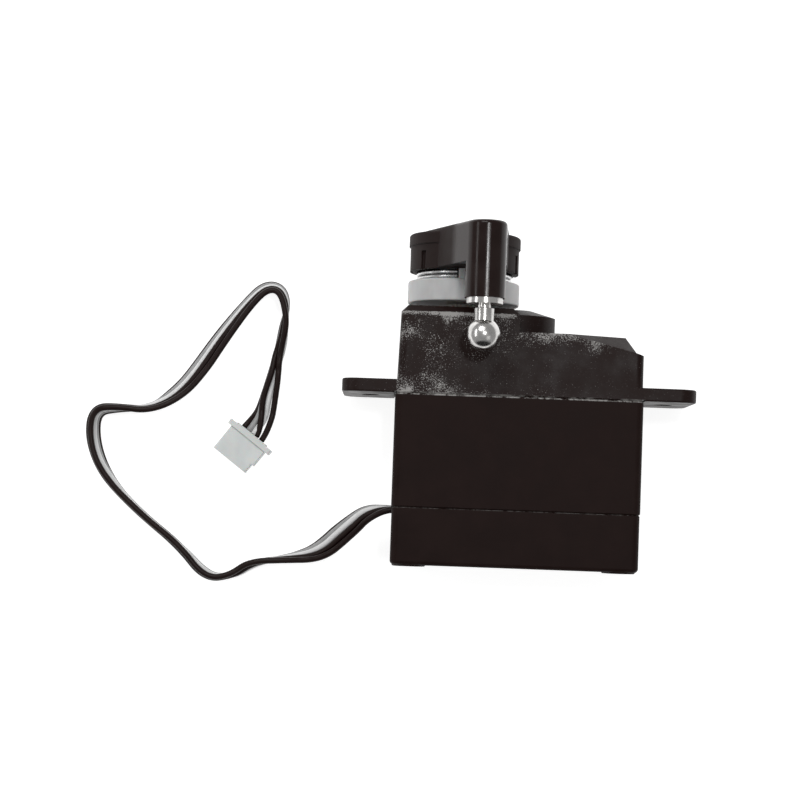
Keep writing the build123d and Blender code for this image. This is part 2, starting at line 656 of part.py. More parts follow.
def terminal_slots(thick, wide, low_y, high_y, mode=Mode.ADD):
    """The two places where the motor's terminals pass through its end bell."""
    with BuildSketch(level(low_y)) as tabs:
        with Locations(*[(MOTOR_X - 2.8, z) for z in (-2 * WIRE_PITCH, 2 * WIRE_PITCH)]):
            Rectangle(thick, wide)
    extrude(tabs.sketch, amount=high_y - low_y, dir=UP, mode=mode)


# ---------------------------------------------------------------- position sensor
def make_sensor():
    """Rotary potentiometer under the output shaft: cup, track, turning disc and wiper."""
    top_y, foot_y = POT_Y
    with BuildPart() as body:
        rod(OUT_X, POT_R, foot_y, top_y)
        rod(OUT_X, POT_R - 0.5, foot_y, top_y - 0.6, Mode.SUBTRACT)
        rod(OUT_X, 1.4, foot_y, top_y, Mode.SUBTRACT)
    finish(body, "sensor_body")

    with BuildPart() as track:
        rod(OUT_X, POT_R, foot_y - 0.6, foot_y)
        rod(OUT_X, 1.2, foot_y - 0.6, foot_y, Mode.SUBTRACT)
    finish(track, "sensor_track")

    with BuildPart() as pins:
        with BuildSketch(level(POT_PIN_END)) as tabs:
            with Locations(*[(POT_PIN_X, z * WIRE_PITCH) for z in (-1, 0, 1)]):
                Rectangle(0.3, 0.5)
        extrude(tabs.sketch, amount=foot_y - 0.6 - POT_PIN_END, dir=UP)
    finish(pins, "sensor_pins")

    with BuildPart() as disc:
        rod(OUT_X, 3.5, -4.6, -3.2)
        rod(OUT_X, 1.6, -5.2, -3.2)
        rod(OUT_X, 0.82, -5.2, -3.2, Mode.SUBTRACT)
        slab(OUT_X - 1, OUT_X - 0.47, 1, -5.2, -3.2)
    finish(disc, "sensor_disc")

    with BuildPart() as wiper:
        across = Plane(origin=(OUT_X, -4.8, 0), x_dir=(1, 0, 0), z_dir=UP)
        wedge(across, 2.0, 3.3, 90, 75, 0.2)
        for reach in (2.2, 2.8):
            with BuildSketch(across) as leg:
                with Locations((reach, 0)):
                    Rectangle(0.35, 2.4)
            extrude(leg.sketch, amount=0.2, dir=UP)
            with BuildSketch(Plane(origin=(OUT_X, -6.55, 0), x_dir=(1, 0, 0), z_dir=UP)) as tip:
                with Locations((reach, 1.1)):
                    Rectangle(0.35, 0.3)
            extrude(tip.sketch, amount=1.8, dir=UP)
    finish(wiper, "sensor_wiper")


# ---------------------------------------------------------------- wiring
def sweep_wire(corners, radii, z):
    """Adds one round wire whose route lies in the plane at depth z."""
    with BuildLine() as route:
        FilletPolyline(*[(x, y, z) for x, y in corners], radius=radii)
    with BuildSketch(Plane(origin=route.line @ 0, z_dir=route.line % 0)) as section:
        Circle(WIRE_R)
    sweep(section.sketch, path=route.line)


def make_inner_leads():
    """Leads inside the case, from the cable slot to the motor and to the sensor."""
    start_x = -MIDDLE_HALF_X + WALL
    with BuildPart() as motor_leads:
        for z in (-2 * WIRE_PITCH, 2 * WIRE_PITCH):
            motor_route = [
                (start_x, CABLE_Y),
                (-11.6, CABLE_Y),
                (-9.0, -17.4),
                (MOTOR_X - 2.8, -17.4),
                (MOTOR_X - 2.8, -16.0),
            ]
            sweep_wire(motor_route, [1.2, 1.2, 0.9], z)
    finish(motor_leads, "motor_leads")
    with BuildPart() as sensor_leads:
        for z in (-WIRE_PITCH, 0, WIRE_PITCH):
            sensor_route = [(start_x, CABLE_Y), (-11.8, CABLE_Y), (POT_PIN_X, -11.0), (POT_PIN_X, POT_PIN_END)]
            sweep_wire(sensor_route, [1.2, 1.2], z)
    finish(sensor_leads, "sensor_leads")


def corner_radii(points):
    """The largest tangent arc at each corner: 0.45 of the shorter run over tan(turn / 2)."""
    radii = []
    for before, here, after in zip(points, points[1:], points[2:]):
        run_in, run_out = Vector(here) - Vector(before), Vector(after) - Vector(here)
        turn = run_in.get_angle(run_out)
        radii.append(0.45 * min(run_in.length, run_out.length) / tan(radians(turn / 2)))
    return radii


def make_ribbon_cable():
    """Flat five-wire ribbon standing on edge, from the case wall to the plug."""
    radii = corner_radii(ROUTE)
    print("ribbon radii", [round(radius, 1) for radius in radii])
    with BuildPart() as ribbon:
        with BuildLine() as route:
            FilletPolyline(*ROUTE, radius=radii)
        with BuildSketch(Plane(origin=ROUTE[0], x_dir=(0, 0, 1), z_dir=route.line % 0)) as section:
            Rectangle(RIBBON_WIDTH, RIBBON_THICK)
        sweep(section.sketch, path=route.line)
    long = sum(edge.length for edge in route.line.edges())
    section_area = RIBBON_WIDTH * RIBBON_THICK
    print("ribbon length", round(long, 2), "volume", round(ribbon.part.volume / section_area / long, 3))
    finish(ribbon, "ribbon_cable")


def make_plug():
    """White five-way crimp housing: flanged rear, stepped body, keys and five contact slots."""
    ahead = Vector(*PLUG_AHEAD, 0)
    middle_z = TABLE_Z + PLUG_THICK / 2
    face = Plane(origin=(*PLUG_FACE, middle_z), x_dir=(-ahead.Y, ahead.X, 0), z_dir=ahead)
    with BuildPart() as housing:
        with BuildSketch(face):
            Rectangle(PLUG_BACK[0], PLUG_BACK[1])
        extrude(amount=PLUG_BACK[2])
        with BuildSketch(face.offset(PLUG_BACK[2])):
            Rectangle(PLUG_FLANGE, PLUG_THICK)
        extrude(amount=PLUG_FLANGE_LONG)
        with BuildSketch(face.offset(PLUG_BACK[2])):
            Rectangle(PLUG_WIDTH, PLUG_THICK - 0.5)
        extrude(amount=PLUG_LONG - PLUG_NOSE[1] - PLUG_BACK[2])
        with BuildSketch(face.offset(PLUG_BACK[2])):
            with Locations(((PLUG_NOSE[0] - PLUG_WIDTH) / 2, 0)):
                Rectangle(PLUG_NOSE[0], PLUG_THICK - 0.5)
        extrude(amount=PLUG_LONG - PLUG_BACK[2])
        fillet(housing.edges().filter_by(ahead_axis(face)), 0.2)
        with BuildSketch(face.offset(PLUG_BACK[2])):  # two keys on the under face
            with Locations(*[(x, 0.3 - PLUG_THICK / 2) for x in (-1.9, 1.9)]):
                Rectangle(0.6, 0.5)
        extrude(amount=PLUG_LONG - PLUG_BACK[2] - 0.9)
        with BuildSketch(face.offset(PLUG_LONG - 3.4)):
            with GridLocations(1.0, 1, 5, 1):
                Rectangle(0.66, 0.9)
        extrude(amount=3.4, mode=Mode.SUBTRACT)
    finish(housing, "plug_housing")
    with BuildPart() as contacts:
        with BuildSketch(face.offset(PLUG_LONG - 3.4)):
            with GridLocations(1.0, 1, 5, 1):
                Rectangle(0.6, 0.8)
        extrude(amount=2.9)
        with BuildSketch(face.offset(PLUG_LONG - 1.9)):
            with GridLocations(1.0, 1, 5, 1):
                Rectangle(0.36, 0.5)
        extrude(amount=1.4, mode=Mode.SUBTRACT)
    finish(contacts, "plug_contacts")


def ahead_axis(plane):
    return Axis(plane.origin, plane.z_dir)


make_upper_case()
make_middle_case()
make_bottom_cover()
make_case_screws()
make_gears()
make_shaft_bush()
make_saver_hub()
make_saver_springs()
make_saver_arm()
make_horn_fixings()
make_ball_stud()
make_motor()
make_sensor()
make_inner_leads()
make_ribbon_cable()
make_plug()
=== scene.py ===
# %% [markdown]
# # A five-wire servo motor with a servo saver
# The model's shapes come from CAD. This file adds what CAD leaves plain: the five separate
# wires of the ribbon, the finish of every surface, a table, soft light and a camera.
# Everything is in metres and in the CAD's own frame: X along the case, Y along the output
# shaft and Z up from the table.

import math

import bmesh
import bpy
import numpy as np
from mathutils import Matrix, Vector


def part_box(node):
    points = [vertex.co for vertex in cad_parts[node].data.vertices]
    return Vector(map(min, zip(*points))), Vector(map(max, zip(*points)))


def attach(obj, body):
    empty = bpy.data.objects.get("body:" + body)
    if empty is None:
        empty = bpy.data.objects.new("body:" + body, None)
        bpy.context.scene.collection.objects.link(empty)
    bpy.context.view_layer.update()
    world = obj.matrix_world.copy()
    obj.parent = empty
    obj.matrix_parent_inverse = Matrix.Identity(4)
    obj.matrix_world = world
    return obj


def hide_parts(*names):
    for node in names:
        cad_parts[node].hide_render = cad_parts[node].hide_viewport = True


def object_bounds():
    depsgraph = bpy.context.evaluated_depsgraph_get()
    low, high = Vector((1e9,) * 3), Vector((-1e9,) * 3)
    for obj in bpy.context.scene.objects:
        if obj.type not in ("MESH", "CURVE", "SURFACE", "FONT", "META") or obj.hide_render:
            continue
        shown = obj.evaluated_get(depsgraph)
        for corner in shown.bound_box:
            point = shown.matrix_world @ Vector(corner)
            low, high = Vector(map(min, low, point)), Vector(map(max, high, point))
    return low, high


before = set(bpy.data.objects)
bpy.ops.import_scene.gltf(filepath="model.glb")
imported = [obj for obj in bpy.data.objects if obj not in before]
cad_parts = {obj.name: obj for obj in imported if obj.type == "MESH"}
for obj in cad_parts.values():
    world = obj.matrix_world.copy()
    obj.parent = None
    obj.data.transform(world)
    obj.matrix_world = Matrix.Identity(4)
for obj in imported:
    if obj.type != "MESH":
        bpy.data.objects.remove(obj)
cad_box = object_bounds()
MM = 0.001

# %% [markdown]
# ## Camera
# A servo this small is looked at from about a quarter of a metre, straight down at the bench. A
# long lens from further away would flatten it, and a wide one would bulge it, so the lens and
# the distance are set together. The camera's three axes are worked out one by one, because
# "track to" constraints are unsteady when a camera looks straight down.

# %% Camera
CAMERA_PLACE = Vector((-14.2, -15.13, 267.5)) * MM
CAMERA_AIM = Vector((-14.2, -0.54, 0.0)) * MM
CAMERA_ROLL = math.radians(2.1)
LENS = 99.0


def aimed(place, aim, up, roll=0.0):
    """A matrix that stands at place and looks at aim, with up as near to its top as it can be."""
    back = (place - aim).normalized()
    right = up.cross(back).normalized()
    top = back.cross(right)
    turn = Matrix((right, top, back)).transposed().to_4x4()
    return Matrix.Translation(place) @ turn @ Matrix.Rotation(roll, 4, "Z")


camera_data = bpy.data.cameras.new("bench_camera")
camera_data.lens = LENS
camera_data.sensor_width = 36.0
camera_data.clip_start, camera_data.clip_end = 0.005, 20.0
camera = bpy.data.objects.new("bench_camera", camera_data)
bpy.context.scene.collection.objects.link(camera)
camera.matrix_world = aimed(CAMERA_PLACE, CAMERA_AIM, Vector((0, 1, 0)), CAMERA_ROLL)
bpy.context.scene.camera = camera
print("camera", [round(x, 4) for x in camera.location], "lens", LENS)

# %% [markdown]
# ## A short way to write shader maths
# A material is a graph of nodes. Wiring it by hand takes a line for every link, so `Field`
# wraps one output socket and lets Python's own operators add the Math nodes, and `Finish`
# holds a material and has one method that adds any other node. Numbers that don't vary over
# the surface are worked out in Python and set straight on the shader.


# %% Fields and finishes
class Field:
    """A value that varies over a surface, so that 1 - mask can be written as it is said."""

    def __init__(self, finish, socket):
        self.finish, self.socket = finish, socket

    def maths(self, operation, first, second):
        return self.finish.node("Math", {"operation": operation}, {0: first, 1: second})

    def __add__(self, other):
        return self.maths("ADD", self, other)

    def __sub__(self, other):
        return self.maths("SUBTRACT", self, other)

    def __rsub__(self, other):
        return self.maths("SUBTRACT", other, self)

    def __mul__(self, other):
        return self.maths("MULTIPLY", self, other)

    def __pow__(self, power):
        return self.maths("POWER", self, power)

    def at_least(self, floor):
        return self.maths("MAXIMUM", self, floor)

    __radd__, __rmul__ = __add__, __mul__


class Finish:
    """A material being made: a principled shader and the nodes that feed it."""

    def __init__(self, name, **constants):
        self.material = bpy.data.materials.new(name)
        self.material.use_nodes = True
        self.tree = self.material.node_tree
        self.shader = self.tree.nodes["Principled BSDF"]
        for socket, value in constants.items():
            self.shader.inputs[socket.replace("_", " ")].default_value = value

    def node(self, kind, settings=None, inputs=None, output=0):
        """Adds a node: its settings first, then a value or a link for each named socket."""
        made = self.tree.nodes.new("ShaderNode" + kind)
        for name, value in (settings or {}).items():
            if name == "stops":
                ramp = made.color_ramp.elements
                while len(ramp) < len(value):
                    ramp.new(0.5)
                for element, (place, colour) in zip(ramp, value):
                    element.position, element.color = place, colour
            else:
                setattr(made, name, value)
        for key, value in (inputs or {}).items():
            if isinstance(value, Field):
                self.tree.links.new(value.socket, made.inputs[key])
            else:
                made.inputs[key].default_value = value
        return Field(self, made.outputs[output])

    def drive(self, **fields):
        """Links fields to the shader's sockets and gives the finished material."""
        for socket, field in fields.items():
            self.tree.links.new(field.socket, self.shader.inputs[socket.replace("_", " ")])
        return self.material


print("field and finish helpers ready")

# %% [markdown]
# ## Grain, edges and colour mixing
# Real finishes differ mostly in size: the grain of a spark-eroded mould is about a tenth of a
# millimetre, and sink marks are a few millimetres across. So the helpers take sizes in
# millimetres. The edge mask compares the true normal with one that is averaged over a small
# radius: they differ only near an edge, which is where plastic rubs bright and where painted
# highlights and painted glow are put.


# %% Helpers that take millimetres
def spot(finish, stretch=(1, 1, 1)):
    """Position on the object in millimetres, with each axis stretched."""
    place = finish.node("TexCoord", output="Object")
    scale = [1000 * s for s in stretch]
    return finish.node("VectorMath", {"operation": "MULTIPLY"}, {0: place, 1: scale})


def noise(finish, size, detail=2.0, stretch=(1, 1, 1), rough=0.55):
    """Soft random field, 0 to 1, with blobs of about size millimetres."""
    inputs = {"Vector": spot(finish, stretch), "Scale": 1 / size, "Detail": detail}
    return finish.node("TexNoise", None, {**inputs, "Roughness": rough})


def between(finish, field, low, high):
    """0 where the field is under low, 1 over high, and straight between."""
    inputs = {"Value": field, "From Min": low, "From Max": high}
    return finish.node("MapRange", {"clamp": True}, inputs)


def mixed(finish, share, low, high):
    """The colour low where share is 0 and high where it is 1."""
    return finish.node("Mix", {"data_type": "RGBA"}, {0: share, 6: low, 7: high}, output=2)


def soft_normal(finish, radius):
    """The normal averaged over a radius in millimetres, which rounds a sharp edge."""
    return finish.node("Bevel", {"samples": 6}, {"Radius": radius * MM})


EDGE_STARTS, EDGE_FULL = 0.02, 0.25  # how far the two normals differ there


def edge_mask(finish, radius):
    """1 along edges and 0 on flats."""
    true = finish.node("NewGeometry", output="Normal")
    pair = {0: soft_normal(finish, radius), 1: true}
    likeness = finish.node("VectorMath", {"operation": "DOT_PRODUCT"}, pair, output="Value")
    return between(finish, 1 - likeness, EDGE_STARTS, EDGE_FULL)


def bumped(finish, height, depth, rounding=None):
    """A normal with relief of depth millimetres, over edges rounded by rounding."""
    inputs = {"Height": height, "Distance": depth * MM}
    if rounding:
        inputs["Normal"] = soft_normal(finish, rounding)
    return finish.node("Bump", None, inputs)


def grey(level, warmth=0.0):
    """A grey colour, a little towards red and away from blue with warmth."""
    return (level * (1 + warmth), level, level * (1 - warmth), 1.0)


print("grain helpers ready")

# %% [markdown]
# ## Table and light
# The servo lies on a plain white table under soft light. A black glossy object shows mostly
# what it mirrors, so the light is what shapes it: a bright strip high above draws a line down
# each round part, and three soft panels shape the top end, the left side and the low end. The
# surround is a dim white, but dark beyond the low end, so that the stud's ball has a dark half.

# %% Table
TABLE_HALF = 1.6
UNDER_PART = 0.01 * MM  # so that the table doesn't share a plane with the part
FOOT = cad_box[0].z / MM  # the height that the part stands on
table_mesh = bpy.data.meshes.new("table")
table_z = cad_box[0].z - UNDER_PART
ways = ((-1, -1), (1, -1), (1, 1), (-1, 1))
corners = [(x * TABLE_HALF, y * TABLE_HALF, table_z) for x, y in ways]
table_mesh.from_pydata(corners, [], [(0, 1, 2, 3)])
table = bpy.data.objects.new("table", table_mesh)
bpy.context.scene.collection.objects.link(table)
table_paint = Finish("table_white", Roughness=0.9, Emission_Strength=0.85)
table_paint.shader.inputs["Emission Color"].default_value = grey(1.0)
cloudy = between(table_paint, noise(table_paint, 40.0), 0.3, 0.7)
table_mesh.materials.append(
    table_paint.drive(Base_Color=mixed(table_paint, cloudy, grey(0.50), grey(0.54)))
)
print("table at", round(table_z / MM, 3), "mm")

# %% Surround
ROOM_END = -0.7  # beyond this, towards -Y, the room is dark
ROOM_FADE = 0.03  # it darkens over this much
ROOM_DARK = 0.03  # its brightness there, where white is 1
ROOM_STRENGTH = 0.4
world = bpy.data.worlds.new("white_room")
world.use_nodes = True
sky = world.node_tree
direction = sky.nodes.new("ShaderNodeTexCoord")
parts = sky.nodes.new("ShaderNodeSeparateXYZ")
shade = sky.nodes.new("ShaderNodeMapRange")
shade.inputs["From Min"].default_value = ROOM_END - ROOM_FADE
shade.inputs["From Max"].default_value = ROOM_END
shade.inputs["To Min"].default_value = ROOM_DARK
sky.links.new(direction.outputs["Generated"], parts.inputs[0])
sky.links.new(parts.outputs["Y"], shade.inputs["Value"])
sky.links.new(shade.outputs[0], sky.nodes["Background"].inputs["Color"])
sky.nodes["Background"].inputs["Strength"].default_value = ROOM_STRENGTH
bpy.context.scene.world = world
bpy.context.scene.view_settings.view_transform = "Standard"
print("surround", ROOM_STRENGTH, "strong, dark beyond", ROOM_END)

# %% Light panels
# Each has a place, a point that it faces, its two sides, all in millimetres, and its watts.
PANELS = {
    "strip": ((29, 44, 300), (0, 5, 0), (26, 24), 0.16),
    "top_panel": ((-60, 150, 190), (-5, 5, 0), (120, 90), 0.2),
    "side_panel": ((-230, 40, 170), (0, 0, 0), (40, 200), 0.1),
    "low_panel": ((170, -120, 260), (0, -5, 0), (120, 120), 0.05),
}
for name, (place, aim, size, power) in PANELS.items():
    lamp = bpy.data.lights.new(name, "AREA")
    lamp.shape = "RECTANGLE"
    lamp.size, lamp.size_y = size[0] * MM, size[1] * MM
    lamp.energy = power
    panel = bpy.data.objects.new(name, lamp)
    bpy.context.scene.collection.objects.link(panel)
    panel.matrix_world = aimed(Vector(place) * MM, Vector(aim) * MM, Vector((0, 1, 0)))
print("light panels", list(PANELS))

# %% [markdown]
# ## The ribbon's route
# The cable is a ribbon of five thin wires, bonded side by side. It leaves a slot in the case,
# sinks to the table and makes one loose loop back to its plug. Its centre line is a smooth
# NURBS curve, with nearly the same points that the CAD ribbon's route has; Blender works the
# curve out, and its points are read back from a mesh made of it.

# %% Route
WIRE_R = 0.375
PITCH = 0.76
CASE_MIDDLE = 0.0
LAID = FOOT + 0.9
PLUG_TURN = math.radians(233.0)
PLUG_FACE = Vector((-32.3, -5.15, 0.0))
PLUG_AHEAD = Vector((math.cos(PLUG_TURN), math.sin(PLUG_TURN), 0.0))
STRAIGHT_IN = 2.1  # the last of the ribbon, in line with the plug
before_plug = PLUG_FACE - STRAIGHT_IN * PLUG_AHEAD
HANGING = [
    (-13.9, -13.85, CASE_MIDDLE),
    (-17.0, -13.85, CASE_MIDDLE),
    (-20.25, -16.6, -1.6),
    (-23.4, -19.4, -3.6),
    (-27.8, -20.45, -5.0),
]
ON_TABLE = [
    (-31.6, -20.9),
    (-34.2, -22.75),
    (-37.3, -23.05),
    (-40.8, -19.2),
    (-45.7, -15.5),
    (-50.1, -11.3),
    (-52.15, -6.8),
    (-52.05, -2.85),
    (-49.0, -2.45),
    (-45.0, -2.6),
    (-41.4, -0.1),
    (-39.2, 2.7),
    (-36.4, 7.1),
    (-33.3, 11.3),
    (-31.4, 13.25),
    (-29.5, 13.05),
    (-28.7, 10.85),
    (-29.0, 7.4),
    (-29.8, 3.2),
    (-30.42, -0.9),
    (before_plug.x, before_plug.y),
    (PLUG_FACE.x, PLUG_FACE.y),
]
ROUTE = HANGING + [(x, y, LAID) for x, y in ON_TABLE]


def smooth_points(points, steps=16):
    """Points along the NURBS curve that these control points, in millimetres, make."""
    curve = bpy.data.curves.new("route", "CURVE")
    curve.dimensions = "3D"
    curve.resolution_u = steps
    spline = curve.splines.new("NURBS")
    spline.points.add(len(points) - 1)
    for knot, place in zip(spline.points, points):
        knot.co = (*place, 1.0)
    spline.order_u = 3
    spline.use_endpoint_u = True
    holder = bpy.data.objects.new("route", curve)
    bpy.context.scene.collection.objects.link(holder)
    mesh = bpy.data.meshes.new_from_object(holder)
    found = np.array([v.co for v in mesh.vertices])
    bpy.data.objects.remove(holder)
    bpy.data.meshes.remove(mesh)
    return found


centre = smooth_points(ROUTE)
steps = np.linalg.norm(np.diff(centre, axis=0), axis=1)
travelled = np.concatenate([[0.0], np.cumsum(steps)])
print("route", round(travelled[-1], 1), "mm in", len(centre), "points")

# %% [markdown]
# ## How the ribbon leans
# A ribbon bends easily about its flat side and hardly at all about its edge, so in a loop it
# stands on edge, and leans or flattens between bends. The table below says, at some distances
# from the case in millimetres, how far each wire lies to the left of the centre line. The
# height follows: two bonded wires stay one pitch apart, so the less they differ sideways, the
# more they stack upwards. Near the plug the bonds are torn and the wires fan out.

# %% Lean of the five wires along the ribbon
LEAN = np.array(
    [
        (0.0, -0.02, -0.02, 0.0, 0.02, 0.02),
        (1.5, -0.06, -0.14, -0.04, -0.02, 0.06),
        (3.3, -0.59, -0.56, -0.48, -0.02, 0.59),
        (6.0, -0.90, -0.77, -0.45, 0.22, 0.90),
        (9.0, -1.02, -0.80, -0.37, 0.29, 1.02),
        (11.6, -0.97, -0.70, -0.21, 0.41, 0.97),
        (14.3, -0.49, -0.32, -0.07, 0.23, 0.49),
        (17.0, -0.12, -0.16, -0.08, 0.02, 0.12),
        (19.3, 0.00, 0.04, 0.04, 0.02, -0.02),
        (20.9, 0.06, 0.22, 0.20, 0.08, -0.12),
        (22.4, 0.10, 0.33, 0.30, 0.20, -0.30),
        (23.9, 0.02, 0.14, 0.12, 0.10, -0.12),
        (24.9, 0.00, 0.00, 0.00, 0.04, -0.04),
        (26.6, -0.08, -0.20, -0.14, 0.20, 0.05),
        (27.9, -0.12, -0.30, -0.22, 0.30, 0.06),
        (30.0, -0.05, -0.20, -0.18, 0.20, -0.04),
        (33.0, -0.02, 0.00, 0.00, 0.12, -0.12),
        (36.5, 0.00, 0.00, 0.00, 0.08, -0.06),
        (40.3, -0.02, -0.05, -0.05, 0.10, -0.08),
        (42.8, -0.10, -0.20, -0.20, 0.12, 0.00),
        (44.6, -0.25, -0.33, -0.27, 0.25, 0.05),
        (47.2, -0.35, -0.20, -0.07, 0.35, 0.20),
        (50.5, -0.42, -0.27, -0.15, 0.42, 0.12),
        (52.6, -0.38, -0.20, -0.10, 0.38, 0.08),
        (54.1, -0.30, -0.14, 0.00, 0.30, 0.05),
        (57.1, -0.05, 0.06, 0.08, 0.06, -0.05),
        (58.4, 0.06, 0.16, 0.16, 0.02, -0.16),
        (59.8, 0.21, 0.25, 0.15, -0.13, -0.25),
        (61.5, 0.45, 0.33, 0.17, -0.20, -0.45),
        (63.0, 0.68, 0.43, 0.06, -0.37, -0.68),
        (65.9, 0.84, 0.59, 0.18, -0.29, -0.84),
        (69.5, 0.89, 0.64, 0.21, -0.22, -0.89),
        (73.4, 0.80, 0.53, 0.20, -0.20, -0.80),
        (78.7, 0.60, 0.40, 0.10, -0.22, -0.60),
        (82.0, 0.58, 0.33, -0.03, -0.30, -0.58),
        (84.5, 0.22, 0.20, 0.15, 0.00, -0.22),
        (85.7, 0.10, 0.08, 0.05, 0.14, -0.14),
        (87.7, -0.35, -0.14, 0.10, -0.03, 0.35),
        (89.6, -0.38, -0.23, 0.38, -0.08, 0.26),
        (91.7, -0.34, -0.30, 0.41, -0.39, 0.23),
        (93.6, -0.50, -0.40, 0.10, -0.30, 0.45),
        (94.8, -0.62, -0.50, 0.12, -0.38, 0.62),
        (96.7, -0.85, -0.70, -0.08, -0.76, 0.68),
        (98.4, -1.00, -0.78, -0.06, -0.78, 0.80),
        (99.2, -1.10, -0.68, 0.08, -0.58, 0.88),
        (100.1, -1.24, -0.62, 0.26, -0.26, 1.02),
        (100.9, -1.30, -0.72, 0.10, 0.10, 1.15),
        (102.0, -1.42, -0.70, 0.00, 0.70, 1.42),
    ]
)
SMOOTHING = 0.8  # mm along the ribbon
TABLE_LENGTH = 102.4  # the table's own length, which the scaling brings to the route's
LEAN[:, 0] *= travelled[-1] / TABLE_LENGTH
reach = travelled[:, None] - travelled[None, :]
weights = np.exp(-((reach / SMOOTHING) ** 2) / 2)
weights /= weights.sum(axis=1, keepdims=True)
leans = [np.interp(travelled, LEAN[:, 0], LEAN[:, 1 + i]) for i in range(5)]
sideways = weights @ np.array(leans).T
print("lean, widest", round(float(np.ptp(sideways, axis=1).max()), 2), "mm")

# %% Centre line of each wire
CONTACT_Z = FOOT + 1.5
TABLE_GAP = 0.02  # under the lowest wire
UPWARD = (0.0, 0.0, 1.0)
FAN = 3.0  # mm of wire over which the stack comes down to the plug's one row
ahead = np.gradient(centre, axis=0)
ahead /= np.linalg.norm(ahead, axis=1, keepdims=True)
left = np.cross(UPWARD, ahead)
left /= np.linalg.norm(left, axis=1, keepdims=True)
above = np.cross(ahead, left)
gaps = np.diff(sideways, axis=1)
rise = np.sqrt(np.maximum(PITCH**2 - gaps**2, 0.0))
stacked = np.concatenate([np.zeros((len(centre), 1)), np.cumsum(rise, axis=1)], axis=1)
stacked -= stacked.mean(axis=1, keepdims=True)
in_row = np.clip(1 - (travelled[-1] - travelled) / FAN, 0, 1)[:, None]
in_row = in_row**2 * (3 - 2 * in_row)
stacked *= 1 - in_row
resting = FOOT + WIRE_R + TABLE_GAP - stacked.min(axis=1)
height = np.maximum(centre[:, 2], resting)
height = height * (1 - in_row[:, 0]) + CONTACT_Z * in_row[:, 0]
height = np.maximum(weights @ height, FOOT + WIRE_R - stacked.min(axis=1))
middle = np.column_stack([centre[:, :2], height])
wires = [middle + left * sideways[:, [i]] + above * stacked[:, [i]] for i in range(5)]
heights = np.array(wires)[:, :, 2]
print("wire heights", heights.min().round(2), "to", heights.max().round(2), "mm")

# %% [markdown]
# ## The wires
# A bevelled curve would give round wires quickly, but the five have to share one centre line,
# so they are built as one mesh: a ring of corners round each point of each wire, joined to the
# next ring. Each end is closed with a flat face.

# %% Wire mesh
RING = 14
WIRE_COLOURS = ("dark", "grey", "white", "dark", "dark")


def tube(mesh, line, radius, paint):
    """Adds a round tube along a line of points, with closed ends."""
    along = np.gradient(line, axis=0)
    along /= np.linalg.norm(along, axis=1, keepdims=True)
    side = np.cross(UPWARD, along)
    side /= np.linalg.norm(side, axis=1, keepdims=True)
    up = np.cross(along, side)
    turns = np.arange(RING) * 2 * math.pi / RING
    sidewise = np.einsum("k,nc->nkc", np.cos(turns), side)
    ring = sidewise + np.einsum("k,nc->nkc", np.sin(turns), up)
    places = (line[:, None, :] + radius * ring) * MM
    rings = [[mesh.verts.new(place) for place in row] for row in places]
    for here, there in zip(rings, rings[1:]):
        for k in range(RING):
            after = (k + 1) % RING
            face = mesh.faces.new((here[k], there[k], there[after], here[after]))
            face.smooth, face.material_index = True, paint
    for end in (rings[0], rings[-1][::-1]):
        mesh.faces.new(end).material_index = paint


def new_piece(name, build):
    """An object whose mesh is filled in by build."""
    work = bmesh.new()
    build(work)
    bmesh.ops.recalc_face_normals(work, faces=work.faces)
    data = bpy.data.meshes.new(name)
    work.to_mesh(data)
    work.free()
    piece = bpy.data.objects.new(name, data)
    bpy.context.scene.collection.objects.link(piece)
    return piece


def five_wires(work):
    """The five wires in one mesh, each with its own colour's slot."""
    for i, line in enumerate(wires):
        tube(work, line, WIRE_R, sorted(set(WIRE_COLOURS)).index(WIRE_COLOURS[i]))


ribbon = new_piece("ribbon_wires", five_wires)
print("ribbon", len(ribbon.data.vertices), "corners")

# %% [markdown]
# ## Wire insulation
# The insulation is soft PVC: a slightly waxy gloss, faint marks all over and a little dust,
# which both come from noise. The dark wires are nearly black brown, and the light ones grey and
# white.


# %% Insulation finish
def insulation(name, low, high, roughness, gloss=0.35):
    """Waxy plastic between two colours, with marks finer than the wire."""
    paint = Finish(name, Specular_IOR_Level=gloss)
    patches = between(paint, noise(paint, 1.6, 3.0), 0.35, 0.7)
    fine = noise(paint, 0.09, 2.0)
    rough = roughness + 0.12 * patches
    relief = bumped(paint, fine, 0.006)
    return paint.drive(Base_Color=mixed(paint, patches, low, high), Roughness=rough, Normal=relief)


insulations = {
    "dark": insulation(
        "insulation_dark", (0.011, 0.005, 0.0042, 1), (0.016, 0.009, 0.008, 1), 0.3, 0.15
    ),
    "grey": insulation("insulation_grey", grey(0.28), grey(0.34), 0.4),
    "white": insulation("insulation_white", grey(0.66), grey(0.74), 0.4),
}
for colour in sorted(insulations):
    ribbon.data.materials.append(insulations[colour])
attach(ribbon, "case")
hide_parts("ribbon_cable")
print("cord declared,", round(float(travelled[-1]), 1), "mm")


# %% [markdown]
# ## Black case plastic
# The shells are moulded in glass-filled nylon from a spark-eroded mould, so they have a fine
# matt grain that breaks the light into specks. The edges are painted pale, partly as polish from
# handling and partly as painted highlight, and thin bands along the seams are painted
# highlights. A smooth black would look like lacquer.


# %% Case finish
WARM_BLACK = (0.0105, 0.0046, 0.0038, 1.0)
WARM_BLACK_DUSTY = (0.0145, 0.0075, 0.0065, 1.0)
COVER_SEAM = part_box("middle_case")[0].y / MM
SHELL_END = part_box("middle_case")[1].x / MM


def part_of(finish, place, axis):
    """One of a place's three numbers."""
    return finish.node("SeparateXYZ", None, {"Vector": place}, output="XYZ".index(axis))


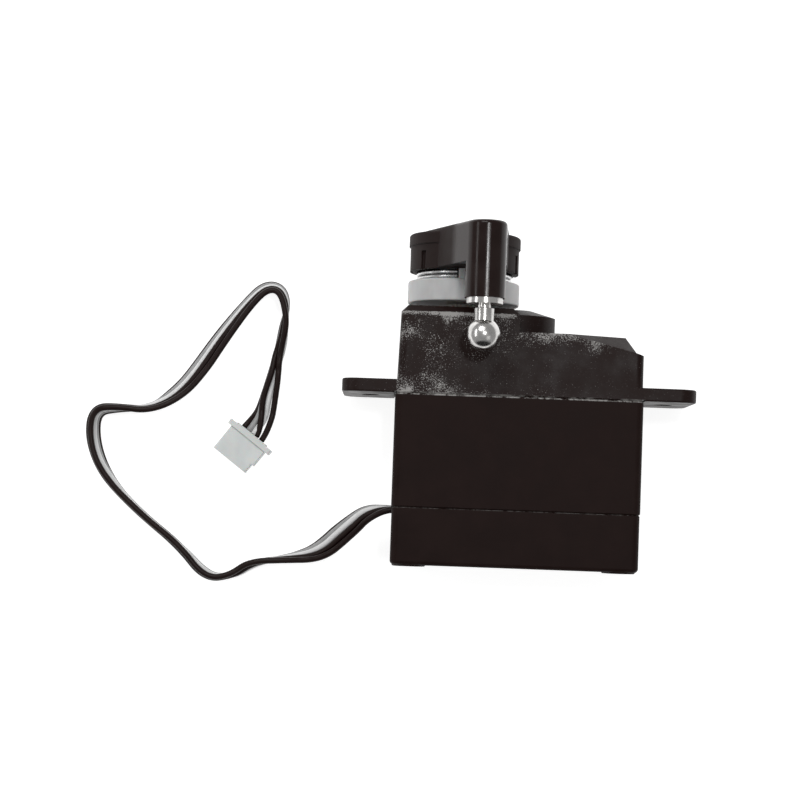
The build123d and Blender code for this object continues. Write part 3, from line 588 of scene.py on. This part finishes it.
def black_plastic(finish, wear_and_sheen):
    """The dusty patches, and a near black with them, pale where the last input is 1: painted
    highlight and wear.
    """
    cloud = between(finish, noise(finish, 3.0, 3.0), 0.35, 0.65)
    colour = mixed(finish, cloud, WARM_BLACK, WARM_BLACK_DUSTY)
    # The pale grey is painted highlight on edges, seams and grain specks, and in part edge wear.
    return cloud, mixed(finish, wear_and_sheen, colour, grey(0.32, 0.03))


def seam_highlight_band(finish, high, top, depth, share):
    """Share of painted seam highlight in a band of depth millimetres under the height top."""
    above_foot = between(finish, high, top - depth, top - depth + 0.04)
    return above_foot * between(finish, high, top + 0.02, top) * share


EDGE_WIDTH = 0.12  # mm
POLISHED_ROUGHNESS = 0.13


def moulded_black(name, gloss, roughness, grain, depth, edge, seams=(), polished=None):
    """Black case plastic, which handling has polished from the first height to the second."""
    paint = Finish(name, Specular_IOR_Level=gloss)
    patchy = between(paint, noise(paint, 0.5, 3.0), 0.4, 0.62)
    # Pale edges: partly polish from handling, partly painted highlight along the edges.
    wear_and_sheen = edge_mask(paint, EDGE_WIDTH) * patchy * edge
    high = part_of(paint, spot(paint), "Y")
    broken = between(paint, noise(paint, 0.9, 4.0, (1, 0.2, 1), 0.7), 0.42, 0.56)
    # Pale broken bands under the seams are painted highlights of the seams' edges.
    for top, deep, share in seams:
        wear_and_sheen = wear_and_sheen + seam_highlight_band(paint, high, top, deep, share) * broken
    cloud, colour = black_plastic(paint, between(paint, wear_and_sheen, 0.0, 1.0))
    relief = bumped(paint, noise(paint, grain, 3.0, rough=0.65), depth, EDGE_WIDTH)
    rough = roughness + 0.1 * cloud
    if polished:
        level = part_of(paint, spot(paint), "Z")
        rough = rough - (roughness - POLISHED_ROUGHNESS) * between(paint, level, *polished)
    return paint.drive(Base_Color=colour, Roughness=rough, Normal=relief)


# The pale share in each seam band is painted highlight.
SEAMS = ((0.0, 0.2, 0.9), (COVER_SEAM, 0.1, 0.3))  # height, depth, share of pale plastic
COLUMN_FRONT = (9.0, 10.6)  # mm up Z: under it the arm is matt, and over it polished
print("cover seam at", round(COVER_SEAM, 2), "mm, shell's end at", round(SHELL_END, 2), "mm")
case_low = moulded_black("case_plastic_fine", 0.08, 0.5, 0.12, 0.006, 0.2, SEAMS)
horn_black = moulded_black("horn_plastic", 0.2, 0.62, 0.2, 0.001, 0.1, polished=COLUMN_FRONT)


# %% [markdown]
# The upper case's grain glints in the light, and these glints are painted into its colour as
# countless tiny pale specks of painted highlight: densely along its upper edges, in clouds down
# the block, and thinly elsewhere. One fine noise makes the specks, and a slow field raises or
# lowers how many of them show.


# %% Where the upper case gets painted highlight specks
# Each pair is in millimetres, from where a field is 0 to where it is 1, along X or up Y.
BLOCK_X = (0.5, -2.0)
BLOCK_TOP_Y = (3.0, 9.7)
CHAMFER_STARTS_Y, CHAMFER_ENDS_Y = (9.2, 9.6), (9.84, 9.74)
SLOPE_START, SLOPE_FALL = 5.4, 0.241  # the low top falls from here, by this much for each mm
LOW_TOP_STARTS_Y, LOW_TOP_ENDS_Y = (5.4, 7.55), (7.78, 7.7)
LOW_TOP_X = (14.5, 8.0)
FOOT_Y, FOOT_X = (2.6, 0.2), (12.0, -10.0)
LEFT_END_X = (-8.0, -13.5)
TOP_FACE_Y = (9.95, 9.8)
# END_FADE: the painted highlight specks, which the next line calls rubbing, fade out near the
# shell's ends.
END_FADE = 0.2  # the rubbing fades out over this much before the shell's ends


def painted_highlight_places(paint):
    """Painted highlight density, whether each place is between the shell's ends, and its height.
    """
    along, high = (part_of(paint, spot(paint), axis) for axis in "XY")
    on_block = between(paint, along, *BLOCK_X)
    block_top = between(paint, high, *BLOCK_TOP_Y) ** 1.5 * on_block
    under_chamfer = between(paint, high, *CHAMFER_STARTS_Y) * between(paint, high, *CHAMFER_ENDS_Y)
    under_chamfer = under_chamfer * on_block
    slope = (along - SLOPE_START).at_least(0.0) * SLOPE_FALL
    level = high + slope
    low_top = between(paint, level, *LOW_TOP_STARTS_Y) * between(paint, level, *LOW_TOP_ENDS_Y)
    low_top = low_top * (1 - on_block) * between(paint, along, *LOW_TOP_X)
    foot = between(paint, high, *FOOT_Y) * between(paint, along, *FOOT_X)
    left_end = between(paint, along, *LEFT_END_X)
    drift = between(paint, noise(paint, 2.6, 3.0, (1, 0.8, 1)), 0.42, 0.68)
    # Bands and clouds where the upper case catches the light get painted highlight specks: block
    # top, under the chamfer, the low top's edge, the tabs' foot and the left end.
    highlight_density = 0.5 * block_top + 0.9 * low_top + 0.5 * foot + 0.25 * left_end * on_block
    inside_left = between(paint, along, -SHELL_END, END_FADE - SHELL_END)
    on_shell = inside_left * between(paint, along, SHELL_END, SHELL_END - END_FADE)
    highlight_density = (highlight_density + 0.16 * on_block) * (0.15 + drift) * on_shell + 0.6 * under_chamfer
    return highlight_density * between(paint, high, *TOP_FACE_Y), on_shell, high


print("the low top falls from", SLOPE_START, "mm along the case")


# %% Painted highlight specks on the upper case's grain
SPECK_SIZE = 0.12
# SPECK_LIFT: how many more grain peaks are painted pale as highlight where the specks are dense.
SPECK_LIFT = 0.42  # how much more of the grain shows where it is rubbed
SPECK_RANGE = (0.72, 0.84)
SEAM_Y = (0.24, 0.1)


def highlight_specked_black(name):
    """Black case plastic with painted highlight specks on the peaks of its grain."""
    paint = Finish(name, Specular_IOR_Level=0.12)
    highlight_density, on_shell, high = painted_highlight_places(paint)
    grain = noise(paint, SPECK_SIZE, 1.0, rough=0.8)
    # The specks are painted highlight on the grain's peaks.
    specks = between(paint, grain + SPECK_LIFT * highlight_density, *SPECK_RANGE)
    # Pale edges: partly wear and partly painted highlight, strongest on the tabs beyond the shell.
    wear_and_sheen = edge_mask(paint, 0.14) * between(paint, noise(paint, 0.4, 3.0), 0.35, 0.6)
    wear_and_sheen = wear_and_sheen * (0.9 - 0.6 * on_shell)
    # A broken pale band along the parting line is a painted highlight of its edge.
    seam = between(paint, high, *SEAM_Y) * between(paint, noise(paint, 1.5, 3.0), 0.4, 0.6) * 0.6
    share = between(paint, specks + wear_and_sheen + seam * on_shell, 0.0, 1.0)
    cloud, colour = black_plastic(paint, share)
    relief = bumped(paint, grain, 0.012, EDGE_WIDTH)
    return paint.drive(Base_Color=colour, Roughness=0.34 + 0.16 * cloud, Normal=relief)


case_top = highlight_specked_black("case_plastic_painted_highlights")
print("black plastics made")


# %% [markdown]
# ## White nylon
# The saver's hub and the plug are unfilled nylon. It lets some light in, so its shade is soft
# and its edges glow a little; that glow is painted into the colour as paler edges. Flow lines
# from the gate show as faint grey clouds.


# %% Nylon finish
def nylon(name, low, high, roughness, rounding=0.1):
    """Nylon between two colours, with a painted glow that makes its edges a little brighter."""
    paint = Finish(name, Specular_IOR_Level=0.4, Subsurface_Weight=0.15, Subsurface_Scale=0.0006)
    flow = between(paint, noise(paint, 2.2, 4.0, (1, 0.5, 1)), 0.3, 0.7)
    wear_and_sheen = edge_mask(paint, rounding)
    colour = mixed(paint, flow, low, high)
    # Paler edges: painted glow of light through the nylon.
    colour = mixed(paint, 0.4 * wear_and_sheen, colour, grey(0.85))
    relief = bumped(paint, noise(paint, 0.15, 3.0), 0.006, rounding)
    return paint.drive(Base_Color=colour, Roughness=roughness + 0.12 * flow, Normal=relief)


# The hub's nylon has a darker grey than the plug's: painted shade for the shade it lies in.
hub_shaded_nylon = nylon("hub_nylon", grey(0.4), grey(0.5), 0.35)
plug_white = nylon("plug_nylon", (0.60, 0.63, 0.62, 1), (0.70, 0.72, 0.71, 1), 0.4)
gear_white = nylon("gear_nylon", grey(0.6, 0.03), grey(0.7, 0.02), 0.4, 0.05)
bell_black = nylon("bell_plastic", grey(0.02), grey(0.03), 0.4)
print("nylons made")

# %% [markdown]
# ## Metals
# Each metal part was made in its own way, and the marks show it: a turned stud has rings
# round its axis, drawn wire has lines along it, and pressed or plated parts are only a little
# uneven. So one function takes the metal's colours and how its marks are stretched.


# %% Metal finish
def metal(name, low, high, roughness, marks=(1, 1, 1), mark_size=0.3, depth=0.003):
    """Bare metal between two greys or colours, with marks stretched by marks."""
    paint = Finish(name)
    paint.shader.inputs["Metallic"].default_value = 1.0
    lines = noise(paint, mark_size, 4.0, marks, 0.7)
    haze = between(paint, noise(paint, 1.5, 3.0), 0.35, 0.7)
    rough = roughness + 0.15 * haze + 0.1 * lines
    relief = bumped(paint, lines, depth)
    return paint.drive(Base_Color=mixed(paint, haze, high, low), Roughness=rough, Normal=relief)


RINGS_Y = (0.05, 5, 0.05)
stud_steel = metal("stud_steel", grey(0.45, 0.02), grey(0.68, 0.02), 0.08, RINGS_Y)
spring_steel = metal("spring_steel", grey(0.5), grey(0.7), 0.18, (1, 4, 1))
screw_steel = metal("screw_steel", grey(0.12), grey(0.2), 0.3)
axle_steel = metal("axle_steel", grey(0.5), grey(0.65), 0.15, (4, 0.2, 4))
brass = metal("brass", (0.55, 0.36, 0.12, 1), (0.78, 0.55, 0.22, 1), 0.2, RINGS_Y)
copper = metal("winding_copper", (0.35, 0.1, 0.04, 1), (0.6, 0.2, 0.08, 1), 0.25, (0.3, 6, 0.3))
magnet_grey = metal("magnet_ferrite", grey(0.05), grey(0.08), 0.5)
contact_tin = metal("contact_tin", grey(0.5, 0.03), grey(0.72, 0.02), 0.2)
print("metals made")

# %% [markdown]
# ## Giving the CAD pieces their finish
# Each CAD node keeps its shape and gets a material in its own slots.


# %% Finishes of the CAD pieces
def board(name):
    """Brown resin board with its weave showing."""
    paint = Finish(name, Specular_IOR_Level=0.3)
    weave = noise(paint, 0.12, 3.0, (1, 1, 3))
    colour = mixed(paint, weave, (0.10, 0.055, 0.02, 1), (0.2, 0.11, 0.045, 1))
    return paint.drive(Base_Color=colour, Normal=bumped(paint, weave, 0.01))


FINISHES = {
    "upper_case": case_top,
    "middle_case": case_low,
    "bottom_cover": case_low,
    "saver_arm": horn_black,
    "saver_hub": hub_shaded_nylon,
    "plug_housing": plug_white,
    "plug_contacts": contact_tin,
    "saver_springs": spring_steel,
    "ball_stud": stud_steel,
    "case_screws": screw_steel,
    "horn_screw": screw_steel,
    "horn_washer": axle_steel,
    "gear_axle": axle_steel,
    "motor_shaft": axle_steel,
    "motor_can": axle_steel,
    "rotor_core": axle_steel,
    "motor_terminals": contact_tin,
    "sensor_pins": contact_tin,
    "shaft_bush": brass,
    "motor_bushes": brass,
    "motor_brushes": brass,
    "motor_pinion": brass,
    "sensor_wiper": brass,
    "commutator": copper,
    "rotor_windings": copper,
    "motor_magnets": magnet_grey,
    "motor_end_bell": bell_black,
    "sensor_body": bell_black,
    "sensor_disc": hub_shaded_nylon,
    "sensor_track": board("track_board"),
    "output_gear": gear_white,
    "gear_1": gear_white,
    "gear_2": gear_white,
    "gear_3": gear_white,
    "motor_leads": insulations["dark"],
    "sensor_leads": insulations["grey"],
    "ribbon_cable": insulations["dark"],
}
for node, material in FINISHES.items():
    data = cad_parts[node].data
    data.materials.clear()
    data.materials.append(material)
print("finished", len(FINISHES), "of", len(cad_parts), "nodes")
